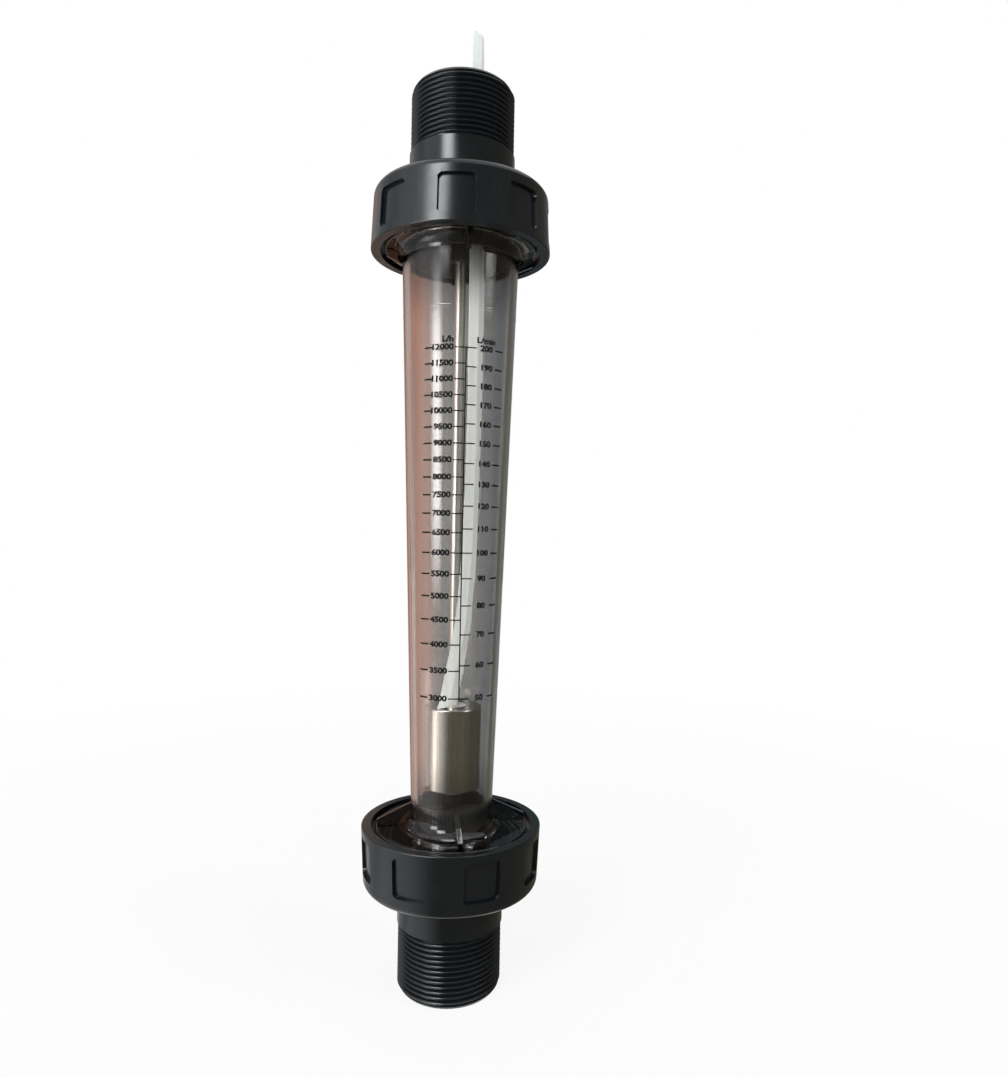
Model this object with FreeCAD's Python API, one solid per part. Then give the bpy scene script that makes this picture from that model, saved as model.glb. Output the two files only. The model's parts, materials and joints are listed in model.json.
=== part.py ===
import FreeCAD, Part
import math
import os

# Variable-area flow meter with a clear tapered tube between two union ends.
# The origin is the centre of the lower end face. +Z runs up the tube and the scale faces -Y.
# Both ends are the same set of pieces: each is drawn for the lower end and mirrored for the upper one.
# All sizes are in millimetres.

Vector = FreeCAD.Vector
UP = Vector(0, 0, 1)
FULL_TURN = 360

# ---- Overall ----
OVERALL_LENGTH = 413.0
COLLAR_R = 35.0

# ---- End connector: male pipe thread, 1 1/2 inch parallel, 2.309 mm pitch ----
THREAD_CREST_R = 23.9
THREAD_LENGTH = 30.0
THREAD_CHAMFER = 1.5
NECK_R = 24.4
NECK_LENGTH = 17.0
PASSAGE_R = 19.0
FLANGE_INSET = 1.5
FLANGE_R = COLLAR_R - FLANGE_INSET
FLANGE_THICKNESS = 6.0

# ---- Seal ring, squeezed into its groove in the connector's flange ----
SEAL_R = 29.5
SEAL_WIDTH = 3.8
SEAL_HEIGHT = 2.7
SEAL_ROUND = 1.3
GROOVE_SIDE_CLEARANCE = 0.2

# ---- Union nut ----
NUT_HEIGHT = 27.8
NUT_WALL = 6.5
NUT_DRAFT = 1.3
NUT_RIM_R = COLLAR_R + NUT_WALL
NUT_BACK_R = NUT_RIM_R - NUT_DRAFT
NUT_BACK_ROUND = 4.0
NUT_SHOULDER = 5.0
NUT_NECK_CLEARANCE = 0.4
NUT_COLLAR_CLEARANCE = 0.3
NUT_SEAT_CLEARANCE = 0.1
NUT_EDGE = 0.6
LEVEL_TOLERANCE = 0.1
NUT_MOUTH_CLEARANCE = 2.2
NUT_MOUTH_R = COLLAR_R + NUT_MOUTH_CLEARANCE
NUT_MOUTH_DEPTH = 3.0
PANEL_COUNT = 8
LOWER_PANEL_PHASE = 12.8
UPPER_PANEL_PHASE = -9.8
PANEL_WIDTH_DEG = 23.0
PANEL_DEPTH = 1.4
PANEL_BACK_BAND = 7.0
PANEL_RIM_BAND = 3.7
PANEL_CORNER = 2.2

# ---- Metering tube ----
COLLAR_BELOW_RIM = 1.0
COLLAR_EDGE = 0.6
TUBE_LOW_R = 18.6
TUBE_HIGH_R = 27.1
TUBE_WALL = 3.0
TUBE_FLARE = 6.0
GUSSET_COUNT = 4
GUSSET_THICKNESS = 2.5
GUSSET_EDGE_HEIGHT = 3.5
GUSSET_SLOPE_DEG = 25.0
GUSSET_INSET = 0.8

# ---- Stops: a ring with a crossbar and a hub, pressed into each end of the tube ----
LOWER_STOP_INSET = 1.7
UPPER_STOP_INSET = 2.1
LOWER_STOP_R = TUBE_LOW_R - LOWER_STOP_INSET
UPPER_STOP_R = TUBE_HIGH_R - UPPER_STOP_INSET
STOP_RING_WALL = 2.0
STOP_RING_HEIGHT = 12.0
LOWER_STOP_DEPTH = 27.3
UPPER_STOP_DEPTH = 19.4
BAR_WIDTH = 5.0
BAR_HEIGHT = 7.0
HUB_R = 5.0
HUB_HEIGHT = 10.0

# ---- Guide rod and what holds it ----
ROD_R = 2.5
ROD_CLEARANCE = 0.05
ROD_STUB = 2.0
ROD_TIP = 0.5
NUT_FLATS = 8.0
NUT_SIDES = 6
ROD_NUT_HEIGHT = 4.0
WASHER_R = 5.0
WASHER_THICKNESS = 1.0
LOWER_BUMPER_HEIGHT = 8.5
UPPER_BUMPER_HEIGHT = 6.8
BUMPER_R = 5.0
BUMPER_EDGE = 0.8
LOWER_HUB_DEPTH = 24.9
UPPER_HUB_DEPTH = 13.5

# ---- Float ----
FLOAT_R = 13.0
FLOAT_HEIGHT = 37.8
FLOAT_EDGE = 0.7
FLOAT_BORE_R = 3.2
BUSH_R = 4.5
BUSH_LENGTH = 8.0
BUSH_FLANGE_R = 6.0
BUSH_FLANGE_THICKNESS = 1.2
RUNNING_CLEARANCE = 0.08

# ---- Packing strip: a creased plastic band that stands on the float and leaves by the upper end ----
STRIP_HALF_WIDTH = 4.6
STRIP_THICKNESS = 0.8
STRIP_FOLD_DEG = 20.0
STRIP_OUT = 24.0
STRIP_REACH = 9.0
# Each station: share of the height, then sideways and forwards as shares of the reach, then turn in degrees
STRIP_STATIONS = (
    (0.000, -0.367, 1.000, 11.0),
    (0.082, 0.011, 0.944, 22.0),
    (0.135, 0.322, 0.933, 28.0),
    (0.230, 0.611, 0.944, 33.0),
    (0.340, 0.767, 0.956, 35.0),
    (0.600, 0.811, 0.956, 36.0),
    (0.900, 0.778, 0.956, 42.0),
    (1.000, 0.778, 0.956, 50.0),
)

# ---- Places worked out from the sizes above ----
NUT_Z = THREAD_LENGTH + NECK_LENGTH
FLANGE_Z = NUT_Z + NUT_SHOULDER + NUT_SEAT_CLEARANCE
TUBE_Z = FLANGE_Z + FLANGE_THICKNESS
RIM_Z = NUT_Z + NUT_HEIGHT
COLLAR_Z = RIM_Z - COLLAR_BELOW_RIM
LOWER_STOP_Z = TUBE_Z + LOWER_STOP_DEPTH
UPPER_STOP_Z = OVERALL_LENGTH - TUBE_Z - UPPER_STOP_DEPTH
NUT_BORE_R = COLLAR_R + NUT_COLLAR_CLEARANCE
ROD_BORE_R = ROD_R + ROD_CLEARANCE
LOWER_HUB_TOP_Z = TUBE_Z + LOWER_HUB_DEPTH
UPPER_HUB_Z = OVERALL_LENGTH - TUBE_Z - UPPER_HUB_DEPTH
LOWER_BUMPER_TOP_Z = LOWER_HUB_TOP_Z + LOWER_BUMPER_HEIGHT
UPPER_BUMPER_Z = UPPER_HUB_Z - UPPER_BUMPER_HEIGHT
ROD_LOW_Z = LOWER_HUB_TOP_Z - HUB_HEIGHT - WASHER_THICKNESS - ROD_NUT_HEIGHT - ROD_STUB
ROD_HIGH_Z = UPPER_HUB_Z + HUB_HEIGHT + WASHER_THICKNESS + ROD_NUT_HEIGHT + ROD_STUB
FLOAT_TOP_Z = LOWER_BUMPER_TOP_Z + FLOAT_HEIGHT
STRIP_TOP_Z = OVERALL_LENGTH + STRIP_OUT
FLOAT_TRAVEL = UPPER_BUMPER_Z - FLOAT_TOP_Z


def corner_points(before, corner, after):
    """Return where the rounding of one corner starts, its middle, and where it ends."""
    here = Vector(corner[0], 0, corner[1])
    back = Vector(before[0], 0, before[1]) - here
    ahead = Vector(after[0], 0, after[1]) - here
    half_angle = back.getAngle(ahead) / 2
    back.normalize()
    ahead.normalize()
    radius = corner[2]
    run = radius / math.tan(half_angle)
    bisector = (back + ahead).normalize()
    middle = here + bisector * (radius / math.sin(half_angle) - radius)
    return here + back * run, middle, here + ahead * run


def outline_face(corners):
    """Face in the XZ plane from (radius, height) corners, with a third value where one is rounded."""
    count = len(corners)
    stops = []
    for index, corner in enumerate(corners):
        if len(corner) == 3:
            stops.append(corner_points(corners[index - 1], corner, corners[(index + 1) % count]))
        else:
            stops.append((Vector(corner[0], 0, corner[1]),))
    edges = []
    for index, stop in enumerate(stops):
        following = stops[(index + 1) % count]
        if len(stop) == 3:
            edges.append(Part.Arc(*stop).toShape())
        edges.append(Part.LineSegment(stop[-1], following[0]).toShape())
    return Part.Face(Part.Wire(edges))


def turned(corners):
    """Solid turned about Z from its half outline."""
    return outline_face(corners).revolve(Vector(), UP, FULL_TURN)


def cylinder(radius, bottom, top):
    """Plain cylinder on the Z axis between two heights."""
    return Part.makeCylinder(radius, top - bottom, Vector(0, 0, bottom), UP)


def turned_by(shape, angle):
    """Copy of a shape turned about Z."""
    copy = shape.copy()
    copy.rotate(Vector(), UP, angle)
    return copy


def at_upper_end(shape):
    """Mirror image of a lower-end shape about the middle of the length."""
    return shape.mirror(Vector(0, 0, OVERALL_LENGTH / 2), UP)


def end_connector():
    """Threaded end with its neck, and the flange that the union nut pulls against the tube."""
    groove_half = SEAL_WIDTH / 2 + GROOVE_SIDE_CLEARANCE
    return turned([
        (PASSAGE_R, 0),
        (THREAD_CREST_R - THREAD_CHAMFER, 0),
        (THREAD_CREST_R, THREAD_CHAMFER),
        (THREAD_CREST_R, THREAD_LENGTH),
        (NECK_R, THREAD_LENGTH),
        (NECK_R, FLANGE_Z),
        (FLANGE_R, FLANGE_Z),
        (FLANGE_R, TUBE_Z),
        (SEAL_R + groove_half, TUBE_Z),
        (SEAL_R + groove_half, TUBE_Z - SEAL_HEIGHT),
        (SEAL_R - groove_half, TUBE_Z - SEAL_HEIGHT),
        (SEAL_R - groove_half, TUBE_Z),
        (PASSAGE_R, TUBE_Z),
    ])


def seal_ring():
    """Rubber ring, flattened where it is squeezed between the groove and the tube."""
    low = TUBE_Z - SEAL_HEIGHT
    inner = SEAL_R - SEAL_WIDTH / 2
    outer = SEAL_R + SEAL_WIDTH / 2
    return turned([
        (inner, low, SEAL_ROUND),
        (outer, low, SEAL_ROUND),
        (outer, TUBE_Z, SEAL_ROUND),
        (inner, TUBE_Z, SEAL_ROUND),
    ])


def nut_side_radius(height):
    """Outer radius of the nut's slightly tapered side, at a height above its closed face."""
    share = (height - NUT_BACK_ROUND) / (NUT_HEIGHT - NUT_BACK_ROUND)
    return NUT_BACK_R + (NUT_RIM_R - NUT_BACK_R) * share


def grip_panel():
    """Tool for one sunk grip panel, with rounded corners, facing -Y before it is turned into place."""
    low = PANEL_BACK_BAND
    high = NUT_HEIGHT - PANEL_RIM_BAND
    outside = NUT_RIM_R + PANEL_DEPTH
    floor = outline_face([
        (nut_side_radius(low) - PANEL_DEPTH, NUT_Z + low),
        (outside, NUT_Z + low),
        (outside, NUT_Z + high),
        (nut_side_radius(high) - PANEL_DEPTH, NUT_Z + high),
    ])
    panel = floor.revolve(Vector(), UP, PANEL_WIDTH_DEG)
    sides = [edge for edge in panel.Edges if is_panel_corner(edge)]
    panel = panel.makeFillet(PANEL_CORNER, sides)
    facing = -90 - PANEL_WIDTH_DEG / 2
    return turned_by(panel, facing)


def is_panel_corner(edge):
    """True for a straight edge that runs outward, where two sides of the panel's tool meet."""
    ends = edge.Vertexes
    if len(ends) != 2:
        return False
    level = abs(ends[0].Z - ends[1].Z) < LEVEL_TOLERANCE
    spread = abs(math.hypot(ends[0].X, ends[0].Y) - math.hypot(ends[1].X, ends[1].Y))
    return level and spread > PANEL_DEPTH / 2


def union_nut(phase):
    """Cup-shaped nut: a closed shoulder around the neck, a threaded bore and a ring of grip panels."""
    hole_r = NECK_R + NUT_NECK_CLEARANCE
    shoulder_z = NUT_Z + NUT_SHOULDER
    body = turned([
        (hole_r, NUT_Z),
        (NUT_BACK_R, NUT_Z, NUT_BACK_ROUND),
        (NUT_RIM_R, RIM_Z, NUT_EDGE),
        (NUT_MOUTH_R, RIM_Z),
        (NUT_MOUTH_R, RIM_Z - NUT_MOUTH_DEPTH),
        (NUT_BORE_R, RIM_Z - NUT_MOUTH_DEPTH - NUT_EDGE),
        (NUT_BORE_R, shoulder_z),
        (hole_r, shoulder_z),
    ])
    panel = grip_panel()
    pitch = FULL_TURN / PANEL_COUNT
    for index in range(PANEL_COUNT):
        body = body.cut(turned_by(panel, phase + index * pitch))
    return body


def tube_radius(height):
    """Outer radius of the taper at a height above the lower end face."""
    share = (height - COLLAR_Z) / (OVERALL_LENGTH - 2 * COLLAR_Z)
    return TUBE_LOW_R + (TUBE_HIGH_R - TUBE_LOW_R) * share


def gusset(wall_r):
    """One rib between the lower collar and the tube wall, facing -Y."""
    outer = COLLAR_R - GUSSET_INSET
    inner = wall_r - TUBE_WALL / 2
    rise = (outer - inner) * math.tan(math.radians(GUSSET_SLOPE_DEG))
    root = COLLAR_Z - GUSSET_EDGE_HEIGHT
    face = outline_face([
        (inner, root),
        (outer, root),
        (outer, COLLAR_Z + GUSSET_EDGE_HEIGHT),
        (inner, COLLAR_Z + GUSSET_EDGE_HEIGHT + rise),
    ])
    rib = face.extrude(Vector(0, GUSSET_THICKNESS, 0))
    rib.translate(Vector(0, -GUSSET_THICKNESS / 2, 0))
    return turned_by(rib, -90)


def metering_tube():
    """Tapered tube moulded in one with a collar, ribs and a stepped mouth at each end."""
    upper_collar_z = OVERALL_LENGTH - COLLAR_Z
    upper_end_z = OVERALL_LENGTH - TUBE_Z
    tube = turned([
        (LOWER_STOP_R, TUBE_Z),
        (COLLAR_R, TUBE_Z),
        (COLLAR_R, COLLAR_Z, COLLAR_EDGE),
        (TUBE_LOW_R, COLLAR_Z, TUBE_FLARE),
        (TUBE_HIGH_R, upper_collar_z, TUBE_FLARE),
        (COLLAR_R, upper_collar_z, COLLAR_EDGE),
        (COLLAR_R, upper_end_z),
        (UPPER_STOP_R, upper_end_z),
        (UPPER_STOP_R, UPPER_STOP_Z),
        (tube_radius(UPPER_STOP_Z) - TUBE_WALL, UPPER_STOP_Z),
        (tube_radius(LOWER_STOP_Z) - TUBE_WALL, LOWER_STOP_Z),
        (LOWER_STOP_R, LOWER_STOP_Z),
    ])
    ribs = []
    for index in range(GUSSET_COUNT):
        angle = index * FULL_TURN / GUSSET_COUNT
        ribs.append(turned_by(gusset(TUBE_LOW_R), angle))
        ribs.append(at_upper_end(turned_by(gusset(TUBE_HIGH_R), angle)))
    return tube.fuse(ribs).removeSplitter()


def rod_stop(ring_r, ring_top, hub_top):
    """Lower-end stop: ring against the tube's inner shoulder, crossbar, and hub bored for the rod."""
    inner_r = ring_r - STOP_RING_WALL
    ring_low = ring_top - STOP_RING_HEIGHT
    ring = cylinder(ring_r, ring_low, ring_top).cut(cylinder(inner_r, ring_low, ring_top))
    hub_low = hub_top - HUB_HEIGHT
    reach = 2 * inner_r + STOP_RING_WALL
    bar_low = hub_low + (HUB_HEIGHT - BAR_HEIGHT) / 2
    bar = Part.makeBox(reach, BAR_WIDTH, BAR_HEIGHT, Vector(-reach / 2, -BAR_WIDTH / 2, bar_low))
    hub = cylinder(HUB_R, hub_low, hub_top)
    bored = ring.fuse([bar, hub]).cut(cylinder(ROD_BORE_R, hub_low, hub_top))
    return bored.removeSplitter()


def guide_rod():
    """Straight rod on the axis, through both hubs, with chamfered tips."""
    return turned([
        (0, ROD_LOW_Z),
        (ROD_R - ROD_TIP, ROD_LOW_Z),
        (ROD_R, ROD_LOW_Z + ROD_TIP),
        (ROD_R, ROD_HIGH_Z - ROD_TIP),
        (ROD_R - ROD_TIP, ROD_HIGH_Z),
        (0, ROD_HIGH_Z),
    ])


def rod_nut(bottom):
    """Hexagon nut on the end of the rod, with its corners turned off."""
    corner_r = NUT_FLATS / 2 / math.cos(math.pi / NUT_SIDES)
    chamfer = corner_r - NUT_FLATS / 2
    top = bottom + ROD_NUT_HEIGHT
    points = []
    for index in range(NUT_SIDES + 1):
        angle = 2 * math.pi * index / NUT_SIDES
        points.append(Vector(corner_r * math.cos(angle), corner_r * math.sin(angle), bottom))
    hexagon = Part.Face(Part.makePolygon(points)).extrude(UP * ROD_NUT_HEIGHT)
    rounding = turned([
        (ROD_BORE_R, bottom),
        (NUT_FLATS / 2, bottom),
        (corner_r, bottom + chamfer),
        (corner_r, top - chamfer),
        (NUT_FLATS / 2, top),
        (ROD_BORE_R, top),
    ])
    return hexagon.common(rounding)


def rod_washer(bottom):
    """Flat washer between a hub and its nut."""
    top = bottom + WASHER_THICKNESS
    return cylinder(WASHER_R, bottom, top).cut(cylinder(ROD_BORE_R, bottom, top))


def bumper(bottom, top):
    """Soft sleeve on the rod that the float meets at the end of its travel."""
    return turned([
        (ROD_BORE_R, bottom),
        (BUMPER_R, bottom, BUMPER_EDGE),
        (BUMPER_R, top, BUMPER_EDGE),
        (ROD_BORE_R, top),
    ])


def float_bush(outer_z, inward):
    """Flanged bush in one end of the float. Inward is 1 when the float lies above outer_z, else -1."""
    seat_z = outer_z + inward * BUSH_FLANGE_THICKNESS
    inner_z = outer_z + inward * BUSH_LENGTH
    bore_r = ROD_R + RUNNING_CLEARANCE
    return turned([
        (bore_r, outer_z),
        (BUSH_FLANGE_R, outer_z),
        (BUSH_FLANGE_R, seat_z),
        (BUSH_R, seat_z),
        (BUSH_R, inner_z),
        (bore_r, inner_z),
    ])


def float_body():
    """Cylindrical metal float, bored through and recessed at both ends for its bushes."""
    low = LOWER_BUMPER_TOP_Z
    top = FLOAT_TOP_Z
    return turned([
        (BUSH_FLANGE_R, low),
        (FLOAT_R, low, FLOAT_EDGE),
        (FLOAT_R, top, FLOAT_EDGE),
        (BUSH_FLANGE_R, top),
        (BUSH_FLANGE_R, top - BUSH_FLANGE_THICKNESS),
        (BUSH_R, top - BUSH_FLANGE_THICKNESS),
        (BUSH_R, top - BUSH_LENGTH),
        (FLOAT_BORE_R, top - BUSH_LENGTH),
        (FLOAT_BORE_R, low + BUSH_LENGTH),
        (BUSH_R, low + BUSH_LENGTH),
        (BUSH_R, low + BUSH_FLANGE_THICKNESS),
        (BUSH_FLANGE_R, low + BUSH_FLANGE_THICKNESS),
    ])


def strip_section(station):
    """Closed outline of the creased strip at one station: a shallow V that points away from the rod."""
    share, sideways, depth, turn = station
    fold = math.radians(STRIP_FOLD_DEG)
    drop = STRIP_HALF_WIDTH * math.sin(fold)
    reach = STRIP_HALF_WIDTH * math.cos(fold)
    outline = [
        (-reach, drop),
        (0, 0),
        (reach, drop),
        (reach, drop + STRIP_THICKNESS),
        (0, STRIP_THICKNESS),
        (-reach, drop + STRIP_THICKNESS),
    ]
    height = FLOAT_TOP_Z + (STRIP_TOP_Z - FLOAT_TOP_Z) * share
    points = [Vector(x, y, 0) for x, y in outline]
    wire = Part.makePolygon(points + points[:1])
    wire.rotate(Vector(), UP, turn)
    wire.translate(Vector(sideways * STRIP_REACH, -depth * STRIP_REACH, height))
    return wire


def packing_strip():
    """Transport strip that keeps the float down: one creased band, bent over its lower part."""
    return Part.makeLoft([strip_section(station) for station in STRIP_STATIONS], True, True)


def rotameter():
    """Every piece by its node name."""
    connector = end_connector()
    seal = seal_ring()
    lower_washer_z = LOWER_HUB_TOP_Z - HUB_HEIGHT - WASHER_THICKNESS
    upper_washer_z = UPPER_HUB_Z + HUB_HEIGHT
    upper_stop = rod_stop(UPPER_STOP_R, OVERALL_LENGTH - UPPER_STOP_Z, OVERALL_LENGTH - UPPER_HUB_Z)
    return {
        "metering_tube": metering_tube(),
        "lower_union_nut": union_nut(LOWER_PANEL_PHASE),
        "upper_union_nut": at_upper_end(union_nut(UPPER_PANEL_PHASE)),
        "lower_end_connector": connector,
        "upper_end_connector": at_upper_end(connector),
        "lower_seal_ring": seal,
        "upper_seal_ring": at_upper_end(seal),
        "lower_rod_stop": rod_stop(LOWER_STOP_R, LOWER_STOP_Z, LOWER_HUB_TOP_Z),
        "upper_rod_stop": at_upper_end(upper_stop),
        "guide_rod": guide_rod(),
        "lower_rod_nut": rod_nut(lower_washer_z - ROD_NUT_HEIGHT),
        "upper_rod_nut": rod_nut(upper_washer_z + WASHER_THICKNESS),
        "lower_rod_washer": rod_washer(lower_washer_z),
        "upper_rod_washer": rod_washer(upper_washer_z),
        "lower_bumper": bumper(LOWER_HUB_TOP_Z, LOWER_BUMPER_TOP_Z),
        "upper_bumper": bumper(UPPER_BUMPER_Z, UPPER_HUB_Z),
        "float_body": float_body(),
        "lower_float_bush": float_bush(LOWER_BUMPER_TOP_Z, 1),
        "upper_float_bush": float_bush(FLOAT_TOP_Z, -1),
        "packing_strip": packing_strip(),
    }


def main():
    """Write one STEP file per piece."""
    os.makedirs("parts", exist_ok=True)
    for name, shape in rotameter().items():
        shape.exportStep("parts/" + name + ".step")
        box = shape.BoundBox
        print(name, shape.isValid(), len(shape.Solids), round(shape.Volume), round(box.ZMin, 2), round(box.ZMax, 2))
    print("float travel", round(FLOAT_TRAVEL, 2))


main()
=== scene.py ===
"""Looks of a plastic-tube rotameter: a clear tapered tube, union nuts, threaded ends and what is inside."""

import json
import logging
import math
from dataclasses import dataclass, field
from enum import Enum
from typing import Sequence, Union

import bmesh
import bpy
from mathutils import Matrix, Vector


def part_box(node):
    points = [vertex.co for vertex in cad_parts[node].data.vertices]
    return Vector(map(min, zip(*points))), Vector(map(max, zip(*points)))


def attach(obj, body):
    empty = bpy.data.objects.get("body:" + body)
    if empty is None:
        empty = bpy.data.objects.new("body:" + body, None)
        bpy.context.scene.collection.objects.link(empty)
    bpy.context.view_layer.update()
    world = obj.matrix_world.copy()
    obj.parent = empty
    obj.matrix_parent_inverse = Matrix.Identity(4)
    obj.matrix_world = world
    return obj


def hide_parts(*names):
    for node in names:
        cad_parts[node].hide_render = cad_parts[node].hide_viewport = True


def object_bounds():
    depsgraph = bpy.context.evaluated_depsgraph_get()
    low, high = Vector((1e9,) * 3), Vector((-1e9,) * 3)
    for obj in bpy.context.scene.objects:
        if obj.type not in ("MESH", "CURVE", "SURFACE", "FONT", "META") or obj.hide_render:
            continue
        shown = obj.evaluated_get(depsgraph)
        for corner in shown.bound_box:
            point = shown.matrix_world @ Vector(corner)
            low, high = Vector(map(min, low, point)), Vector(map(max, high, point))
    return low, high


logging.basicConfig(level=logging.INFO, format="%(message)s")
log = logging.getLogger("rotameter")

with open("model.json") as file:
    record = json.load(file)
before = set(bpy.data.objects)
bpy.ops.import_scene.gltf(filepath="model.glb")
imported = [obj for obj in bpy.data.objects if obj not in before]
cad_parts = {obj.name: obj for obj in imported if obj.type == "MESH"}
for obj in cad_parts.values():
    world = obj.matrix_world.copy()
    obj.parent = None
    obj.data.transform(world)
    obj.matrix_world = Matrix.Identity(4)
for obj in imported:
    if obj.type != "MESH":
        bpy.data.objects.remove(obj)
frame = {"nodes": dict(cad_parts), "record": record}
cad_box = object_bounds()

MM = 0.001
Point = tuple[float, float]
Corner = tuple[float, ...]


class Body(Enum):
    """Moving bodies of the meter, by the names that the frame uses."""

    METER = "meter"
    FLOAT = "float"
    LOWER_NUT = "lower_nut"
    UPPER_NUT = "upper_nut"


class End(Enum):
    """The two mirrored ends of the meter."""

    LOWER = "lower"
    UPPER = "upper"

    @property
    def nut_body(self) -> Body:
        """Body of the union nut at this end."""
        return Body.LOWER_NUT if self is End.LOWER else Body.UPPER_NUT


class Align(Enum):
    """Which part of a printed word stands at its place."""

    RIGHT = "RIGHT"
    CENTER = "CENTER"


# ---------------------------------------------------------------- places from the frame


COLLAR_BELOW_RIM = 1.0 * MM


@dataclass(frozen=True)
class Layout:
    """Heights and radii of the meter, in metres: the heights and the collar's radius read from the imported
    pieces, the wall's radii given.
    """

    length: float
    collar_z: float
    end_z: float
    collar_r: float
    lower_wall_r: float = 18.6 * MM
    upper_wall_r: float = 27.1 * MM

    @classmethod
    def read(cls) -> "Layout":
        """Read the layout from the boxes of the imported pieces.

        Returns:
            The layout of the meter as it stands.
        """
        low_end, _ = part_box("lower_end_connector")
        _, high_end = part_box("upper_end_connector")
        tube_low, tube_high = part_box("metering_tube")
        _, nut_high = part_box("lower_union_nut")
        return cls(
            length=high_end.z - low_end.z,
            collar_z=nut_high.z - COLLAR_BELOW_RIM,
            end_z=tube_low.z,
            collar_r=tube_high.x,
        )

    def wall_radius(self, height: float) -> float:
        """Outer radius of the tapered wall.

        Args:
            height: Height above the lower end face, in metres.

        Returns:
            The radius there, in metres.
        """
        share = (height - self.collar_z) / (self.length - 2 * self.collar_z)
        return self.lower_wall_r + (self.upper_wall_r - self.lower_wall_r) * share


# ---------------------------------------------------------------- mesh helpers


MERGE = 1e-7


def spoke(angle: float) -> Vector:
    """Direction out from the axis, at an angle round from the front."""
    return Vector((math.sin(angle), -math.cos(angle), 0))


def rounded_outline(corners: Sequence[Corner], steps: int = 5) -> list[Point]:
    """Outline with arcs at its rounded corners.

    Args:
        corners: (radius, height) corners, with a third value where one is rounded.
        steps: Number of chords in each arc.

    Returns:
        The points of the closed outline.
    """
    points: list[Point] = []
    count = len(corners)
    for index, corner in enumerate(corners):
        here = Vector(corner[:2])
        if len(corner) < 3:
            points.append((corner[0], corner[1]))
            continue
        back = (Vector(corners[index - 1][:2]) - here).normalized()
        ahead = (Vector(corners[(index + 1) % count][:2]) - here).normalized()
        half = back.angle(ahead) / 2
        run = corner[2] / math.tan(half)
        centre = here + (back + ahead).normalized() * (corner[2] / math.sin(half))
        first = here + back * run - centre
        last = here + ahead * run - centre
        for step in range(steps + 1):
            point = centre + first.slerp(last, step / steps).normalized() * corner[2]
            points.append((point.x, point.y))
    return points


def finish_mesh(name: str, mesh_data: bmesh.types.BMesh, sharp_deg: float = 32.0) -> bpy.types.Object:
    """Turn edited geometry into a smooth-shaded object.

    Args:
        name: Name of the new piece.
        mesh_data: The geometry, which is freed.
        sharp_deg: Edges that turn by more than this stay sharp.

    Returns:
        The new object, linked to the scene.
    """
    bmesh.ops.remove_doubles(mesh_data, verts=mesh_data.verts, dist=MERGE)
    bmesh.ops.dissolve_degenerate(mesh_data, dist=MERGE, edges=mesh_data.edges)
    bmesh.ops.recalc_face_normals(mesh_data, faces=mesh_data.faces)
    mesh = bpy.data.meshes.new(name)
    mesh_data.to_mesh(mesh)
    mesh_data.free()
    mesh.shade_smooth()
    mesh.set_sharp_from_angle(angle=math.radians(sharp_deg))
    piece = bpy.data.objects.new(name, mesh)
    bpy.context.scene.collection.objects.link(piece)
    return piece


def skin_columns(mesh_data: bmesh.types.BMesh, columns: list[list[Vector]]) -> None:
    """Join neighbouring columns of points into a closed ring of quads.

    Args:
        mesh_data: Geometry that receives the faces.
        columns: Closed outlines with equal numbers of points, one after another round the axis.
    """
    rows = [[mesh_data.verts.new(point) for point in column] for column in columns]
    for index, column in enumerate(rows):
        following = rows[(index + 1) % len(rows)]
        count = len(column)
        for step in range(count):
            above = (step + 1) % count
            mesh_data.faces.new((column[step], following[step], following[above], column[above]))


def loft(mesh_data: bmesh.types.BMesh, rings: list[list[bmesh.types.BMVert]]) -> None:
    """Join rings of vertices, one after another, into a bar that is closed at both ends.

    Args:
        mesh_data: Geometry that holds the vertices and receives the faces.
        rings: Closed rings with equal numbers of vertices.
    """
    count = len(rings[0])
    for first, second in zip(rings, rings[1:]):
        for index in range(count):
            after = (index + 1) % count
            mesh_data.faces.new((first[index], first[after], second[after], second[index]))
    mesh_data.faces.new(rings[0][::-1])
    mesh_data.faces.new(rings[-1])


def lathe(outline: Sequence[Point], segments: int) -> bmesh.types.BMesh:
    """Turn a closed outline about Z.

    Args:
        outline: Points of the outline as (radius, height).
        segments: Number of segments round the axis.

    Returns:
        New geometry.
    """
    mesh_data = bmesh.new()
    columns = []
    for index in range(segments):
        out = spoke(2 * math.pi * index / segments)
        columns.append([out * radius + Vector((0, 0, height)) for radius, height in outline])
    skin_columns(mesh_data, columns)
    return mesh_data


def apply_modifiers(piece: bpy.types.Object) -> None:
    """Replace a piece's mesh by what its modifiers make of it.

    Args:
        piece: The object, whose modifiers are removed afterwards.
    """
    graph = bpy.context.evaluated_depsgraph_get()
    made = bpy.data.meshes.new_from_object(piece.evaluated_get(graph))
    old = piece.data
    piece.modifiers.clear()
    piece.data = made
    made.name = old.name
    bpy.data.meshes.remove(old)


def level_shading(piece: bpy.types.Object, sharp_deg: float) -> None:
    """Shade a piece smoothly by its large faces, so that a fine edge doesn't bend the light across a wall.

    Args:
        piece: The object.
        sharp_deg: Edges that turn by more than this stay sharp.
    """
    piece.data.shade_smooth()
    piece.data.set_sharp_from_angle(angle=math.radians(sharp_deg))
    level = piece.modifiers.new("level", "WEIGHTED_NORMAL")
    level.mode = "FACE_AREA"
    level.weight = 100
    level.keep_sharp = True
    apply_modifiers(piece)


def dress(piece: bpy.types.Object, material: bpy.types.Material) -> None:
    """Give a piece one material in all its slots.

    Args:
        piece: The object.
        material: Its finish.
    """
    piece.data.materials.clear()
    piece.data.materials.append(material)


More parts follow.
